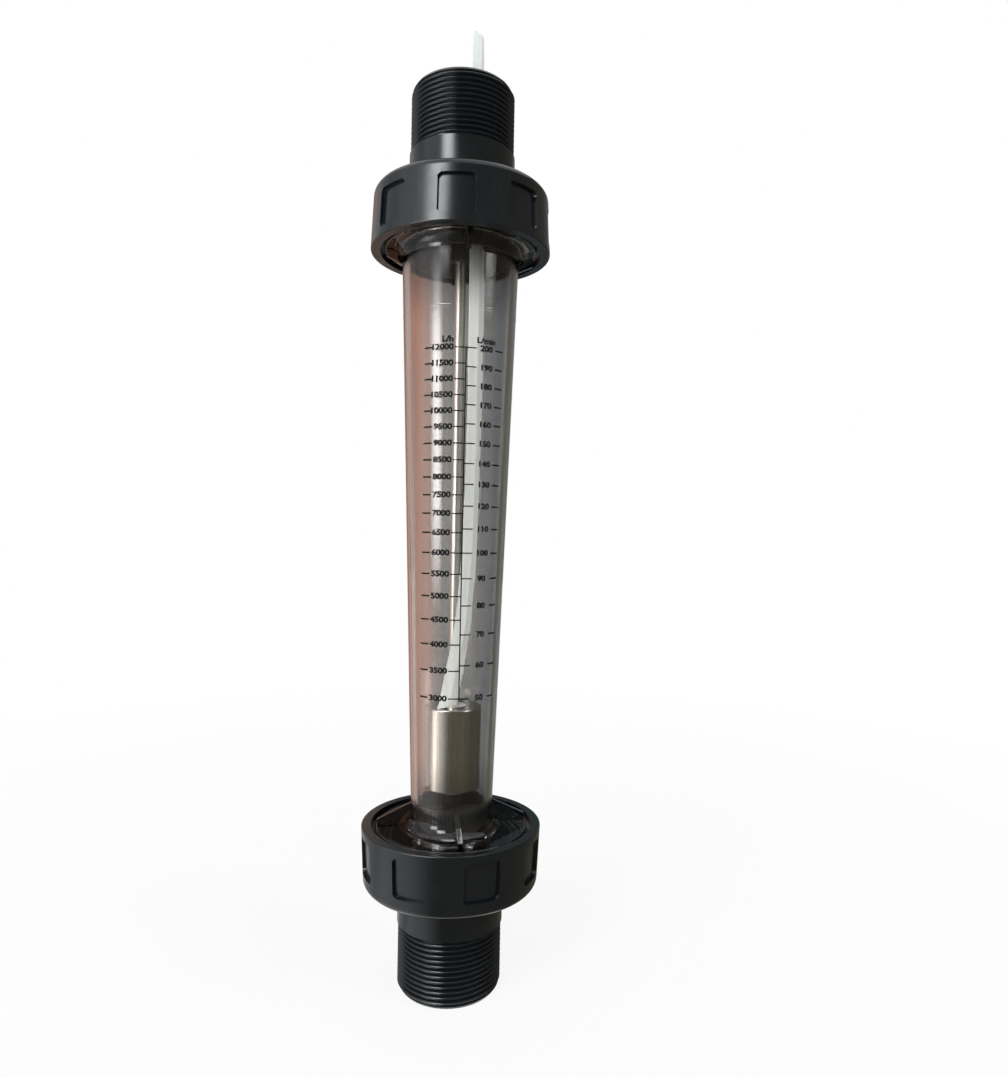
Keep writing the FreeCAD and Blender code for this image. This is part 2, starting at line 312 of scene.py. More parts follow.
def half_turn(length: float) -> Matrix:
    """Half a turn about a level axis, which carries a form of the lower end to the upper end.

    Args:
        length: Distance between the two end faces.

    Returns:
        The transform.
    """
    return Matrix.Translation((0, 0, length)) @ Matrix.Rotation(math.pi, 4, "Y")


# ---------------------------------------------------------------- shader node groups


Node = bpy.types.Node
Socket = bpy.types.NodeSocket
Operand = Union[Socket, float, Sequence[float]]


def make_group(name: str, inputs: dict[str, float], outputs: Sequence[str]) -> bpy.types.NodeTree:
    """Start a shader node group with named sockets.

    Args:
        name: Name of the group.
        inputs: Input names with their default values.
        outputs: Output names.

    Returns:
        The empty group, with its input and output nodes named "in" and "out".
    """
    tree = bpy.data.node_groups.new(name, "ShaderNodeTree")
    number = "NodeSocketFloat"
    for label, value in inputs.items():
        socket = tree.interface.new_socket(name=label, in_out="INPUT", socket_type=number)
        socket.default_value = value
    for label in outputs:
        tree.interface.new_socket(name=label, in_out="OUTPUT", socket_type=number)
    tree.nodes.new("NodeGroupInput").name = "in"
    tree.nodes.new("NodeGroupOutput").name = "out"
    return tree


@dataclass
class Wiring:
    """Short-hand for placing and joining nodes in one tree."""

    tree: bpy.types.NodeTree

    def node(self, kind: str, **settings: object) -> Node:
        """Add a node and set its properties.

        Args:
            kind: Blender's node type.
            **settings: Properties of the node.

        Returns:
            The new node.
        """
        made = self.tree.nodes.new(kind)
        for key, value in settings.items():
            setattr(made, key, value)
        return made

    def join(self, source: Operand, target: Socket) -> None:
        """Link one socket to another, or set a plain value on it."""
        if isinstance(source, bpy.types.NodeSocket):
            self.tree.links.new(source, target)
        else:
            target.default_value = source

    def noise(self, vector: Socket, scale: float, detail: float = 2.0, rough: float = 0.5) -> Socket:
        """Noise value at a given scale.

        Args:
            vector: Coordinates.
            scale: Features per metre.
            detail: Octaves.
            rough: Strength of the finer octaves.

        Returns:
            The noise's value socket.
        """
        made = self.node("ShaderNodeTexNoise")
        labels = ("Vector", "Scale", "Detail", "Roughness")
        for label, source in zip(labels, (vector, scale, detail, rough)):
            self.join(source, made.inputs[label])
        return made.outputs["Fac"]

    def math(self, operation: str, first: Operand, second: Operand = 0.0) -> Socket:
        """Arithmetic on sockets and numbers.

        Args:
            operation: Blender's name for the operation.
            first: First operand.
            second: Second operand, where the operation has one.

        Returns:
            The result socket.
        """
        made = self.node("ShaderNodeMath", operation=operation)
        self.join(first, made.inputs[0])
        self.join(second, made.inputs[1])
        return made.outputs[0]

    def total(self, start: Operand, *terms: tuple[Socket, Operand]) -> Socket:
        """Sum of a start value and weighted values.

        Args:
            start: What the rest is added to.
            *terms: Values, each with its weight.

        Returns:
            The result socket.
        """
        for value, weight in terms:
            start = self.math("ADD", start, self.math("MULTIPLY", value, weight))
        return start

    def scaled(self, vector: Operand, factor: Socket) -> Socket:
        """Vector or colour times a factor.

        Args:
            vector: The vector or the colour.
            factor: What it is multiplied by.

        Returns:
            The result socket.
        """
        made = self.node("ShaderNodeVectorMath", operation="SCALE")
        self.join(vector, made.inputs[0])
        self.join(factor, made.inputs["Scale"])
        return made.outputs[0]

    def remap(self, value: Socket, low: float, high: float, to_low: Operand, to_high: Operand) -> Socket:
        """Map a range of values onto another one, clamped.

        Args:
            value: What is mapped.
            low: Start of the source range.
            high: End of the source range.
            to_low: Result at the start.
            to_high: Result at the end.

        Returns:
            The result socket.
        """
        made = self.node("ShaderNodeMapRange")
        labels = ("Value", "From Min", "From Max", "To Min", "To Max")
        for label, source in zip(labels, (value, low, high, to_low, to_high)):
            self.join(source, made.inputs[label])
        return made.outputs["Result"]

    def stretched(self, scale: Sequence[float]) -> Socket:
        """Object coordinates stretched along each axis.

        Args:
            scale: Factor along X, Y and Z.

        Returns:
            The vector socket.
        """
        mapping = self.node("ShaderNodeMapping")
        self.join(scale, mapping.inputs["Scale"])
        self.join(self.node("ShaderNodeTexCoord").outputs["Object"], mapping.inputs["Vector"])
        return mapping.outputs["Vector"]

    def object_axes(self) -> dict[str, Socket]:
        """Object coordinates as sockets named X, Y and Z, with the distance from the Z axis as R."""
        split = self.node("ShaderNodeSeparateXYZ")
        self.join(self.node("ShaderNodeTexCoord").outputs["Object"], split.inputs[0])
        axes = {label: split.outputs[label] for label in "XYZ"}
        squares = [self.math("MULTIPLY", axes[label], axes[label]) for label in "XY"]
        axes["R"] = self.math("SQRT", self.math("ADD", *squares))
        return axes

    def round_axis(self, scale: Sequence[float]) -> Socket:
        """Coordinates round the Z axis: angle, radius and height, each scaled.

        Args:
            scale: Factor on the angle in radians, the radius and the height.

        Returns:
            The vector socket.
        """
        axes = self.object_axes()
        merged = self.node("ShaderNodeCombineXYZ")
        parts = (self.math("ARCTAN2", axes["Y"], axes["X"]), axes["R"], axes["Z"])
        for part, factor, target in zip(parts, scale, merged.inputs):
            self.join(self.math("MULTIPLY", part, factor), target)
        return merged.outputs[0]

    def blend(self, share: Operand, first: Socket, second: Socket) -> Socket:
        """Mix of two shaders.

        Args:
            share: Share of the second one.
            first: First shader.
            second: Second shader.

        Returns:
            The mixed shader.
        """
        mix = self.node("ShaderNodeMixShader")
        for source, target in zip((share, first, second), mix.inputs):
            self.join(source, target)
        return mix.outputs[0]

    def surface(self, shader: Socket) -> None:
        """Show a shader on the material's surface."""
        self.join(shader, self.tree.nodes["Material Output"].inputs["Surface"])


def moulded_skin_group() -> bpy.types.NodeTree:
    """Group for moulded plastic: faint cloudiness, flow marks and a fine satin grain.

    Returns:
        The group, with outputs Shade, Roughness and Height.
    """
    inputs = {"Base Roughness": 0.3, "Variation": 0.1, "Grain": 1.0}
    tree = make_group("moulded_skin", inputs, ("Shade", "Roughness", "Height"))
    wires = Wiring(tree)
    given = tree.nodes["in"].outputs
    cloud = wires.noise(wires.stretched((1, 1, 1)), scale=60, detail=3)
    flow = wires.noise(wires.round_axis((3, 60, 14)), scale=2.2, detail=3)
    grain = wires.noise(wires.stretched((1, 1, 1)), scale=5200)
    swing = wires.math("MULTIPLY", wires.total(-0.5, (cloud, 0.6), (flow, 0.4)), given["Variation"])
    out = tree.nodes["out"].inputs
    wires.join(wires.total(1.0, (swing, 2.2)), out["Shade"])
    wires.join(wires.math("ADD", given["Base Roughness"], swing), out["Roughness"])
    wires.join(wires.total(0.0, (grain, given["Grain"]), (flow, 0.35)), out["Height"])
    return tree


def handling_marks_group() -> bpy.types.NodeTree:
    """Group for handling: sparse hairline scratches and dull smudges.

    Returns:
        The group, with outputs Scratches and Smudges between 0 and 1.
    """
    tree = make_group("handling_marks", {"Amount": 0.5}, ("Scratches", "Smudges"))
    wires = Wiring(tree)
    amount = tree.nodes["in"].outputs["Amount"]
    lines = []
    for stretch in ((700, 90, 1900), (1500, 600, 160)):
        fine = wires.noise(wires.stretched(stretch), scale=1, detail=1)
        near = wires.math("ABSOLUTE", wires.math("SUBTRACT", fine, 0.5))
        lines.append(wires.remap(near, 0.0, 0.006, 1.0, 0.0))
    both = wires.math("MAXIMUM", *lines)
    patches = wires.noise(wires.stretched((1, 1, 1)), scale=85)
    patchy = wires.remap(patches, 0.52, 0.66, 0.0, 1.0)
    dull = wires.noise(wires.stretched((1, 1, 0.6)), scale=48, detail=4, rough=0.62)
    smudge = wires.remap(dull, 0.46, 0.72, 0.0, 1.0)
    out = tree.nodes["out"].inputs
    wires.join(wires.math("MULTIPLY", wires.math("MULTIPLY", both, patchy), amount), out["Scratches"])
    wires.join(wires.math("MULTIPLY", smudge, amount), out["Smudges"])
    return tree


def turned_lines_group() -> bpy.types.NodeTree:
    """Group for turned or drawn metal: fine lines round the axis or along it.

    Returns:
        The group, with outputs Tone, Roughness and Height.
    """
    inputs = {"Round": 1.0, "Base Roughness": 0.2, "Contrast": 0.1}
    tree = make_group("turned_lines", inputs, ("Tone", "Roughness", "Height"))
    wires = Wiring(tree)
    given = tree.nodes["in"].outputs
    rings = wires.noise(wires.round_axis((1.5, 900, 5200)), scale=1, detail=3)
    streaks = wires.noise(wires.round_axis((60, 40, 18)), scale=1, detail=3)
    lines = wires.remap(given["Round"], 0.0, 1.0, streaks, rings)
    swing = wires.math("MULTIPLY", wires.math("SUBTRACT", lines, 0.5), given["Contrast"])
    out = tree.nodes["out"].inputs
    wires.join(wires.total(1.0, (swing, 2.5)), out["Tone"])
    wires.join(wires.math("ADD", given["Base Roughness"], swing), out["Roughness"])
    wires.join(lines, out["Height"])
    return tree


@dataclass(frozen=True)
class Groups:
    """The shared node groups, each built once."""

    skin: bpy.types.NodeTree
    marks: bpy.types.NodeTree
    lines: bpy.types.NodeTree

    @classmethod
    def build(cls) -> "Groups":
        """Build every shared group."""
        return cls(moulded_skin_group(), handling_marks_group(), turned_lines_group())


# ---------------------------------------------------------------- finishes


Colour = tuple[float, float, float]


def blank_material(name: str) -> tuple[bpy.types.Material, Wiring, Node]:
    """New material with one Principled shader.

    Args:
        name: Name of the material.

    Returns:
        The material, its wiring and its shader.
    """
    material = bpy.data.materials.new(name)
    material.use_nodes = True
    shader = material.node_tree.nodes["Principled BSDF"]
    return material, Wiring(material.node_tree), shader


def place_group(wires: Wiring, group: bpy.types.NodeTree, **values: float) -> Node:
    """Place a shared group with its own values.

    Args:
        wires: Tree that receives the group.
        group: The group.
        **values: Input values, with underscores for spaces.

    Returns:
        The group node.
    """
    node = wires.node("ShaderNodeGroup")
    node.node_tree = group
    for key, value in values.items():
        node.inputs[key.replace("_", " ")].default_value = value
    return node


def bump(wires: Wiring, shader: Node, height: Socket, distance: float) -> None:
    """Feed a height into the shader's normal.

    Args:
        wires: Tree that holds the shader.
        shader: The shader.
        height: Height between 0 and 1.
        distance: Size of the relief in metres.
    """
    relief = wires.node("ShaderNodeBump")
    relief.inputs["Distance"].default_value = distance
    wires.join(height, relief.inputs["Height"])
    wires.join(relief.outputs["Normal"], shader.inputs["Normal"])


@dataclass(frozen=True)
class MouldedPlastic:
    """Dense moulded plastic with a satin gloss and light handling marks."""

    name: str
    colour: Colour
    roughness: float = 0.3
    variation: float = 0.12
    marks: float = 0.5
    relief: float = 0.012 * MM

    def build(self, groups: Groups) -> bpy.types.Material:
        """Build the material.

        Args:
            groups: The shared node groups.

        Returns:
            The material.
        """
        material, wires, shader = blank_material(self.name)
        skin = place_group(wires, groups.skin, Base_Roughness=self.roughness, Variation=self.variation)
        marks = place_group(wires, groups.marks, Amount=self.marks).outputs
        worn = wires.total(skin.outputs["Shade"], (marks["Scratches"], 1.6), (marks["Smudges"], 0.35))
        dull = wires.total(skin.outputs["Roughness"], (marks["Scratches"], 0.2), (marks["Smudges"], 0.16))
        wires.join(wires.scaled(self.colour, worn), shader.inputs["Base Color"])
        wires.join(dull, shader.inputs["Roughness"])
        bump(wires, shader, skin.outputs["Height"], self.relief)
        shader.inputs["IOR"].default_value = 1.5
        return material


@dataclass(frozen=True)
class Steel:
    """Stainless steel, turned round the axis or drawn along it."""

    name: str
    colour: Colour
    roughness: float
    turned: bool
    contrast: float = 0.12
    relief: float = 0.004 * MM

    def build(self, groups: Groups) -> bpy.types.Material:
        """Build the material.

        Args:
            groups: The shared node groups.

        Returns:
            The material.
        """
        material, wires, shader = blank_material(self.name)
        lines = place_group(
            wires,
            groups.lines,
            Round=float(self.turned),
            Base_Roughness=self.roughness,
            Contrast=self.contrast,
        )
        marks = place_group(wires, groups.marks, Amount=0.4).outputs
        dull = wires.total(lines.outputs["Roughness"], (marks["Smudges"], 0.12))
        wires.join(wires.scaled(self.colour, lines.outputs["Tone"]), shader.inputs["Base Color"])
        wires.join(dull, shader.inputs["Roughness"])
        bump(wires, shader, lines.outputs["Height"], self.relief)
        shader.inputs["Metallic"].default_value = 1.0
        shader.inputs["Anisotropic"].default_value = 0.5 if self.turned else 0.3
        return material


@dataclass(frozen=True)
class Rubber:
    """Black rubber with a bloom of dust and a rough skin."""

    name: str
    colour: Colour = (0.017, 0.017, 0.018)
    roughness: float = 0.62
    relief: float = 0.03 * MM

    def build(self, groups: Groups) -> bpy.types.Material:
        """Build the material.

        Args:
            groups: The shared node groups.

        Returns:
            The material.
        """
        material, wires, shader = blank_material(self.name)
        skin = place_group(wires, groups.skin, Base_Roughness=self.roughness, Variation=0.3, Grain=2.0)
        wires.join(wires.scaled(self.colour, skin.outputs["Shade"]), shader.inputs["Base Color"])
        wires.join(skin.outputs["Roughness"], shader.inputs["Roughness"])
        bump(wires, shader, skin.outputs["Height"], self.relief)
        return material


@dataclass(frozen=True)
class ClearPlastic:
    """Clear moulded plastic with flow lines and smudges, and painted reflection and shade in its colour.

    The front and the rear wall have their own colours, which run from the left side to the right
    with one at each stop: the rosy left, the grey-blue right and the darker rear wall are painted
    reflection and shade. Towards the collars, next to the nuts, the colour darkens as painted shade.
    """

    name: str
    # painted reflection and shade: each wall's colours run from rosy at the left to grey-blue at the right,
    # and the rear wall's colours are darker
    front: tuple[Colour, ...]
    rear: tuple[Colour, ...]
    thin_from: float
    thin_to: float
    stops: tuple[float, ...] = (0.03, 0.13, 0.36, 0.7, 0.8)
    # painted shade: the colour darkens to this share towards the collars, next to the nuts
    deep: float = 0.5
    deep_run: float = 32.0 * MM
    rear_blend: float = 5.0 * MM
    # share of the rear wall's painted shade that still shows in reflections
    mirrored_cast: float = 0.3
    sway: float = 0.06
    relief: float = 0.1 * MM
    roughness: float = 0.02
    refraction: float = 1.49
    lamp_tint: Colour = (0.96, 0.955, 0.95)

    def ramp(self, wires: Wiring, across: Socket, colours: Sequence[Colour]) -> Socket:
        """Colours of one wall.

        Args:
            wires: Tree that receives the nodes.
            across: Place across the tube, from 0 at the left side to 1 at the right.
            colours: Colour at each stop.

        Returns:
            The colour socket.
        """
        ramp = wires.node("ShaderNodeValToRGB")
        elements = ramp.color_ramp.elements
        elements[0].position, elements[0].color = self.stops[0], (*colours[0], 1)
        elements[1].position, elements[1].color = self.stops[-1], (*colours[-1], 1)
        for stop, colour in zip(self.stops[1:-1], colours[1:-1]):
            elements.new(stop).color = (*colour, 1)
        wires.join(across, ramp.inputs["Fac"])
        return ramp.outputs["Color"]

    def cast(self, wires: Wiring) -> Socket:
        """Colour of the resin across the tube, with painted reflection and shade: rosy left, grey-blue
        right, a darker rear wall, and darker towards the collars.

        Args:
            wires: Tree that receives the nodes.

        Returns:
            The colour socket.
        """
        axes = wires.object_axes()
        drift = wires.noise(wires.round_axis((1.5, 10, 5)), scale=1)
        sway = wires.remap(drift, 0.3, 0.7, -self.sway, self.sway)
        across = wires.remap(wires.math("DIVIDE", axes["X"], axes["R"]), -1.0, 1.0, 0.0, 1.0)
        swayed = wires.math("ADD", across, sway)
        mixed = wires.node("ShaderNodeMix", data_type="RGBA")
        path = wires.node("ShaderNodeLightPath")
        seen = wires.remap(path.outputs["Glossy Depth"], 0.0, 1.0, 1.0, self.mirrored_cast)
        # painted shade: the rear wall takes its darker colours
        behind = wires.remap(axes["Y"], -self.rear_blend, self.rear_blend, 0.0, seen)
        wires.join(behind, mixed.inputs["Factor"])
        wires.join(self.ramp(wires, swayed, self.front), mixed.inputs[6])
        wires.join(self.ramp(wires, swayed, self.rear), mixed.inputs[7])
        # painted shade: darker towards the collars
        middle_z = (self.thin_from + self.thin_to) / 2
        reach = (self.thin_to - self.thin_from) / 2
        from_middle = wires.math("ABSOLUTE", wires.math("SUBTRACT", axes["Z"], middle_z))
        tone = wires.remap(from_middle, reach - self.deep_run, reach, 1.0, self.deep)
        return wires.scaled(mixed.outputs[2], tone)

    def build(self, groups: Groups) -> bpy.types.Material:
        """Build the material, which lets lamp light through to what is inside.

        Args:
            groups: The shared node groups.

        Returns:
            The material.
        """
        material, wires, shader = blank_material(self.name)
        marks = place_group(wires, groups.marks, Amount=0.6).outputs
        flow = wires.noise(wires.round_axis((5, 20, 3.5)), scale=1.6, detail=3)
        waves = wires.remap(flow, 0.3, 0.7, 0.94, 1.04)
        haze = wires.total(self.roughness, (marks["Smudges"], 0.05), (marks["Scratches"], 0.2))
        wires.join(wires.scaled(self.cast(wires), waves), shader.inputs["Base Color"])
        wires.join(haze, shader.inputs["Roughness"])
        bump(wires, shader, flow, self.relief)
        shader.inputs["Transmission Weight"].default_value = 1.0
        shader.inputs["IOR"].default_value = self.refraction
        clear = wires.node("ShaderNodeBsdfTransparent")
        clear.inputs["Color"].default_value = (*self.lamp_tint, 1)
        lamp_light = wires.node("ShaderNodeLightPath").outputs["Is Shadow Ray"]
        wires.surface(wires.blend(lamp_light, shader.outputs[0], clear.outputs[0]))
        return material


@dataclass(frozen=True)
class MilkyPlastic:
    """Thin milky plastic band that glows where light falls through it."""

    name: str
    colour: Colour
    glow_through: float = 0.4
    relief: float = 0.03 * MM

    def build(self, groups: Groups) -> bpy.types.Material:
        """Build the material.

        Args:
            groups: The shared node groups.

        Returns:
            The material.
        """
        material, wires, shader = blank_material(self.name)
        skin = place_group(wires, groups.skin, Base_Roughness=0.34, Variation=0.16)
        drawn = wires.noise(wires.stretched((900, 900, 12)), scale=1, detail=3)
        shade = wires.math("MULTIPLY", skin.outputs["Shade"], wires.remap(drawn, 0.3, 0.7, 0.9, 1.06))
        wires.join(wires.scaled(self.colour, shade), shader.inputs["Base Color"])
        wires.join(skin.outputs["Roughness"], shader.inputs["Roughness"])
        bump(wires, shader, drawn, self.relief)
        through = wires.node("ShaderNodeBsdfTranslucent")
        through.inputs["Color"].default_value = (*self.colour, 1)
        wires.surface(wires.blend(self.glow_through, shader.outputs[0], through.outputs[0]))
        return material


@dataclass(frozen=True)
class Ink:
    """Black printing ink, slightly uneven and a little worn."""

    name: str
    colour: Colour = (0.006, 0.006, 0.007)

    def build(self, groups: Groups) -> bpy.types.Material:
        """Build the material.

        Args:
            groups: The shared node groups.

        Returns:
            The material.
        """
        material, wires, shader = blank_material(self.name)
        skin = place_group(wires, groups.skin, Base_Roughness=0.6, Variation=0.4)
        wires.join(wires.scaled(self.colour, skin.outputs["Shade"]), shader.inputs["Base Color"])
        wires.join(skin.outputs["Roughness"], shader.inputs["Roughness"])
        shader.inputs["Specular IOR Level"].default_value = 0.08
        return material


@dataclass
class Finishes:
    """All finishes of the meter, by the record's slot names."""

    made: dict[str, bpy.types.Material] = field(default_factory=dict)

    def build(self, groups: Groups, layout: Layout) -> "Finishes":
        """Build one material for each slot.

        Args:
            groups: The shared node groups.
            layout: Places read from the frame.

        Returns:
            This object.
        """
        charcoal = (0.0048, 0.0066, 0.0082)
        recipes = {
            "tube_clear": ClearPlastic(
                "tube_clear",
                # painted reflection and shade: rosy left and grey-blue right on both walls, and a darker
                # rear wall
                front=(
                    (0.76, 0.57, 0.49),
                    (0.8, 0.745, 0.71),
                    (0.8, 0.785, 0.77),
                    (0.8, 0.785, 0.77),
                    (0.56, 0.58, 0.595),
                ),
                rear=(
                    (0.55, 0.33, 0.26),
                    (0.53, 0.3, 0.225),
                    (0.31, 0.3, 0.295),
                    (0.31, 0.315, 0.315),
                    (0.2, 0.21, 0.215),
                ),
                thin_from=layout.collar_z,
                thin_to=layout.length - layout.collar_z,
            ),
            "nut_plastic": MouldedPlastic("nut_plastic", charcoal, roughness=0.2),
            "connector_plastic": MouldedPlastic("connector_plastic", charcoal, roughness=0.16),
            "seal_rubber": Rubber("seal_rubber"),
            "bumper_rubber": Rubber("bumper_rubber", (0.014, 0.014, 0.015), 0.5),
            "stop_plastic": MouldedPlastic("stop_plastic", (0.03, 0.029, 0.028), roughness=0.4),
            "rod_steel": Steel("rod_steel", (0.84, 0.85, 0.83), 0.3, turned=False),
            "fastener_steel": Steel("fastener_steel", (0.62, 0.61, 0.59), 0.28, turned=True),
            "float_steel": Steel("float_steel", (0.68, 0.68, 0.65), 0.13, turned=False, contrast=0.16),
            "bush_plastic": MouldedPlastic("bush_plastic", (0.72, 0.72, 0.7), 0.42, variation=0.1),
            "strip_plastic": MilkyPlastic("strip_plastic", (0.9, 0.93, 0.91)),
            "ink": Ink("ink"),
        }
        for slot, recipe in recipes.items():
            self.made[slot] = recipe.build(groups)
        return self

    def __getitem__(self, slot: str) -> bpy.types.Material:
        """Material of a slot."""
        return self.made[slot]


# ---------------------------------------------------------------- sub-assemblies


@dataclass
class SubAssembly:
    """Part of the meter that is built at its place in the layout and dressed in its finishes."""

    layout: Layout
    finishes: Finishes


@dataclass
class ThreadedEnd(SubAssembly):
    """End connector with a real pipe thread, in place of the plain crest cylinder."""

    end: End
    crest_r: float = 23.9 * MM
    pitch: float = 2.309 * MM
    depth: float = 1.479 * MM
    thread_length: float = 30.0 * MM
    chamfer: float = 2.2 * MM
    runout: float = 1.6 * MM
    neck_r: float = 24.4 * MM
    passage_r: float = 19.0 * MM
    passage_edge: float = 0.6 * MM
    neck_fillet: float = 0.8 * MM
    flange_edge: float = 0.5 * MM
    seat_edge: float = 0.4 * MM
    flange_z: float = 52.1 * MM
    flange_r: float = 33.5 * MM
    groove_r: float = 29.5 * MM
    groove_half: float = 2.1 * MM
    groove_depth: float = 2.7 * MM
    columns: int = 144

    # share of the pitch and share of the depth at each break of the rounded thread form, up to its crest
    RISE = ((0.0, 0.0), (0.06, 0.03), (0.13, 0.16), (0.27, 0.63), (0.35, 0.82), (0.43, 0.94), (0.5, 1.0))
    FORM = (*RISE, *((1.0 - phase, level) for phase, level in reversed(RISE[1:])))

    def thread_radius(self, height: float, share: float) -> float:
        """Radius of the thread at a height.

        Args:
            height: Height above the end face.
            share: Share of the pitch that the helix has climbed at this angle.

        Returns:
            Radius of the surface.
        """
        phase = (height / self.pitch - share) % 1.0
        form = (*self.FORM, (1.0, 0.0))
        level = 0.0
        for (start, low), (stop, high) in zip(form, form[1:]):
            if start <= phase <= stop:
                level = low + (high - low) * (phase - start) / (stop - start)
                break
        radius = self.crest_r - self.depth * (1 - level)
        entry = self.crest_r - self.depth + height * (self.depth / self.chamfer)
        rise = (self.thread_length - height) / self.runout
        exit_floor = self.crest_r - self.depth * min(1.0, max(0.0, rise))
        return max(min(radius, entry), exit_floor)

    def heights(self, share: float) -> list[float]:
        """Heights of the thread's breaks in one column, from the end face to the neck.

        Args:
            share: Share of the pitch that the helix has climbed at this angle.

        Returns:
            Heights, the first and last of them at the thread's limits.
        """
        turns = int(self.thread_length / self.pitch) + 2
        levels = [0.0]
        for turn in range(-1, turns):
            for phase, _ in self.FORM:
                height = (turn + phase + share) * self.pitch
                levels.append(min(max(height, 0.0), self.thread_length))
        levels.append(self.thread_length)
        return levels

    def shell_outline(self) -> list[Point]:
        """Outline beyond the thread: neck, flange, seal groove and passage.

        Returns:
            Points from the neck back to the passage's mouth.
        """
        tube_z = self.layout.end_z
        floor = tube_z - self.groove_depth
        ring = rounded_outline([
            (self.passage_r, 0, self.passage_edge),
            (self.neck_r, 0),
            (self.neck_r, self.thread_length),
            (self.neck_r, self.flange_z, self.neck_fillet),
            (self.flange_r, self.flange_z, self.flange_edge),
            (self.flange_r, tube_z, self.flange_edge),
            (self.groove_r + self.groove_half, tube_z),
            (self.groove_r + self.groove_half, floor),
            (self.groove_r - self.groove_half, floor),
            (self.groove_r - self.groove_half, tube_z),
            (self.passage_r, tube_z, self.seat_edge),
        ])
        corner = ring.index((self.neck_r, 0))
        return ring[corner + 1:] + ring[:corner]

    def build(self) -> bpy.types.Object:
        """Build and dress the connector.

        Returns:
            The connector's object.
        """
        shell = self.shell_outline()
        mesh_data = bmesh.new()
        columns = []
        for index in range(self.columns):
            share = index / self.columns
            angle = 2 * math.pi * share
            out = Vector((math.cos(angle), math.sin(angle), 0))
            outline = [(self.thread_radius(z, share), z) for z in self.heights(share)]
            columns.append([out * r + Vector((0, 0, z)) for r, z in outline + shell])
        skin_columns(mesh_data, columns)
        node = f"{self.end.value}_end_connector"
        piece = finish_mesh(f"{self.end.value}_threaded_end", mesh_data, sharp_deg=40)
        if self.end is End.UPPER:
            piece.data.transform(half_turn(self.layout.length))
        dress(piece, self.finishes["connector_plastic"])
        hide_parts(node)
        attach(piece, Body.METER.value)
        return piece


